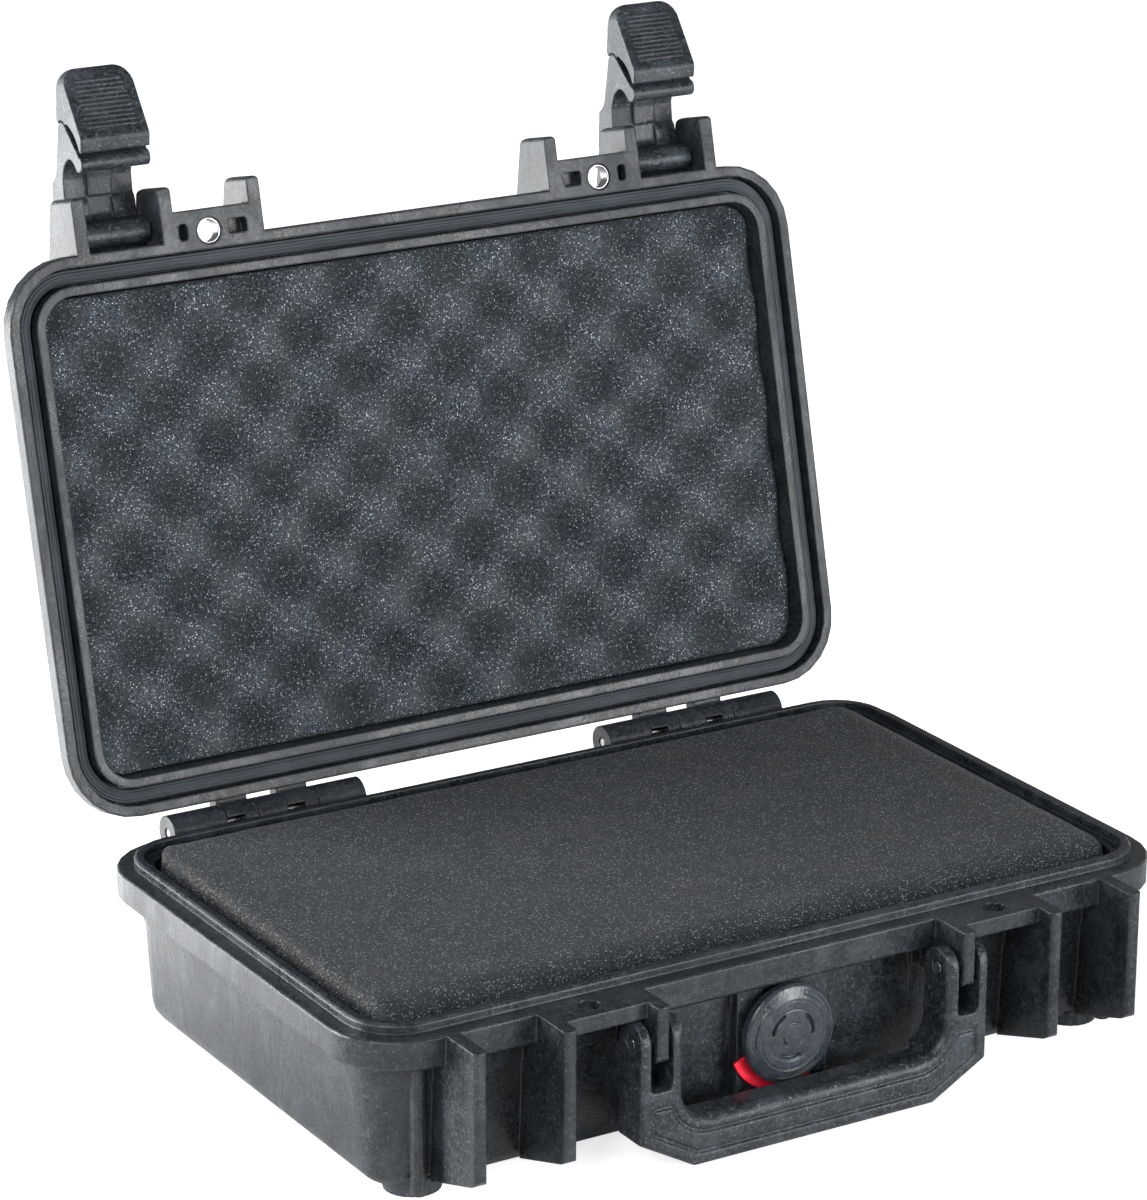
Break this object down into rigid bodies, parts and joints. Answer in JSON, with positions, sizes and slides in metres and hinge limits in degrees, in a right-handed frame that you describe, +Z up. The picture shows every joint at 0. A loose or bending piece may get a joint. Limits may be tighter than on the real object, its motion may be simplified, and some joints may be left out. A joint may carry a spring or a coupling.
{
  "type": "hard equipment case",
  "caption": "Small hinged hard case, open, with lever latches, carrying handle, padlock plates, vent valve and foam inserts.",
  "frame": {"origin": "middle of the footprint on the plane that the feet and the base panel stand on", "axes": "+X to the right seen from the front, -Y out of the front (latches and handle), +Z up; the lid stands open at rest"},
  "size_m": [0.296, 0.2814, 0.293],
  "materials": {
    "shell": "fine moulded texture, satin black polymer",
    "latch_polymer": "grained black polymer",
    "foam": "open-cell dark grey foam",
    "seal": "smooth black rubber",
    "steel": "ground stainless steel",
    "red": "smooth red plastic"
  },
  "bodies": {
    "base": {"base_shell": "shell", "base_foam_block": "foam", "base_foam_pad": "foam", "hinge_pin_left": "steel", "hinge_pin_right": "steel", "valve_body": "latch_polymer", "valve_seal_ring": "seal", "valve_membrane": "seal", "valve_cap": "latch_polymer", "valve_red_ring": "red", "handle_pin_left": "steel", "handle_pin_right": "steel"},
    "lid": {"lid_shell": "shell", "lid_gasket": "seal", "lid_foam": "foam", "padlock_sleeve_left": "steel", "padlock_sleeve_right": "steel", "latch_pin_left": "steel", "latch_pin_right": "steel"},
    "latch_arm_left": {"latch_arm_left": "latch_polymer", "latch_lever_pin_left": "steel"},
    "latch_arm_right": {"latch_arm_right": "latch_polymer", "latch_lever_pin_right": "steel"},
    "latch_lever_left": {"latch_lever_left": "latch_polymer"},
    "latch_lever_right": {"latch_lever_right": "latch_polymer"},
    "handle": {"handle": "latch_polymer"}
  },
  "joints": [
    {"name": "lid_hinge", "type": "hinge", "parent": "base", "child": "lid", "pos_m": [0, 0.098, 0.0544], "axis": [-1, 0, 0], "range_deg": [-103.65, 0]},
    {"name": "latch_left_swing", "type": "hinge", "parent": "lid", "child": "latch_arm_left", "pos_m": [-0.1037, 0.15603, 0.23995], "axis": [-1, 0, 0], "range_deg": [-86.35, 30]},
    {"name": "lever_left_throw", "type": "hinge", "parent": "latch_arm_left", "child": "latch_lever_left", "pos_m": [-0.1037, 0.16502, 0.2737], "axis": [-1, 0, 0], "range_deg": [0, 45]},
    {"name": "latch_right_swing", "type": "hinge", "parent": "lid", "child": "latch_arm_right", "pos_m": [0.1037, 0.15603, 0.23995], "axis": [-1, 0, 0], "range_deg": [-86.35, 30]},
    {"name": "lever_right_throw", "type": "hinge", "parent": "latch_arm_right", "child": "latch_lever_right", "pos_m": [0.1037, 0.16502, 0.2737], "axis": [-1, 0, 0], "range_deg": [0, 45]},
    {"name": "handle_swing", "type": "hinge", "parent": "base", "child": "handle", "pos_m": [0, -0.0997, 0.0435], "axis": [-1, 0, 0], "range_deg": [0, 95]}
  ]
}
